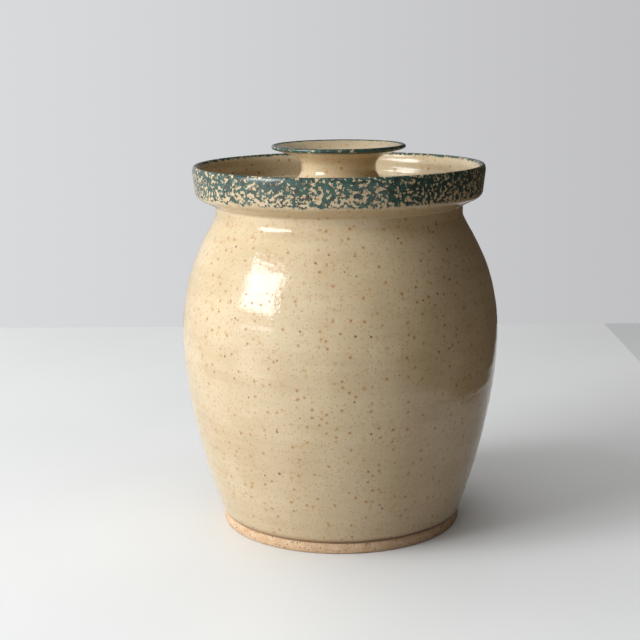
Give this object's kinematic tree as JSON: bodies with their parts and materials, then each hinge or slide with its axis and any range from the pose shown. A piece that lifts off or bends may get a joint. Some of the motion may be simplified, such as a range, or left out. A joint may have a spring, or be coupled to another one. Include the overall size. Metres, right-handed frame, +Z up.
{
  "type": "fermenting crock",
  "caption": "Round-bellied stoneware fermenting crock with a water channel in its rim, a lid with a hollow flared knob, and half-moon weights inside.",
  "frame": {"origin": "centre of the foot, on the surface that the crock stands on", "axes": "+Z up along the pot's own axis, +X to the right and -Y to the front; the weights part along X"},
  "size_m": [0.2168, 0.2168, 0.2605],
  "materials": {
    "glazed_stoneware": "glossy speckled oatmeal glaze, with a sponged green rim and a bare foot",
    "bare_stoneware": "unglazed speckled stoneware"
  },
  "bodies": {
    "crock": {"crock_body": "glazed_stoneware"},
    "lid": {"lid": "glazed_stoneware"},
    "left_weight": {"weight_left": "bare_stoneware"},
    "right_weight": {"weight_right": "bare_stoneware"}
  },
  "joints": [
    {"name": "lid_lift", "type": "slide", "parent": "crock", "child": "lid", "axis": [0, 0, 1], "range_m": [0, 0.1]},
    {"name": "weight_left_lift", "type": "slide", "parent": "crock", "child": "left_weight", "axis": [0, 0, 1], "range_m": [0, 0.17]},
    {"name": "weight_right_lift", "type": "slide", "parent": "crock", "child": "right_weight", "axis": [0, 0, 1], "range_m": [0, 0.17]}
  ]
}
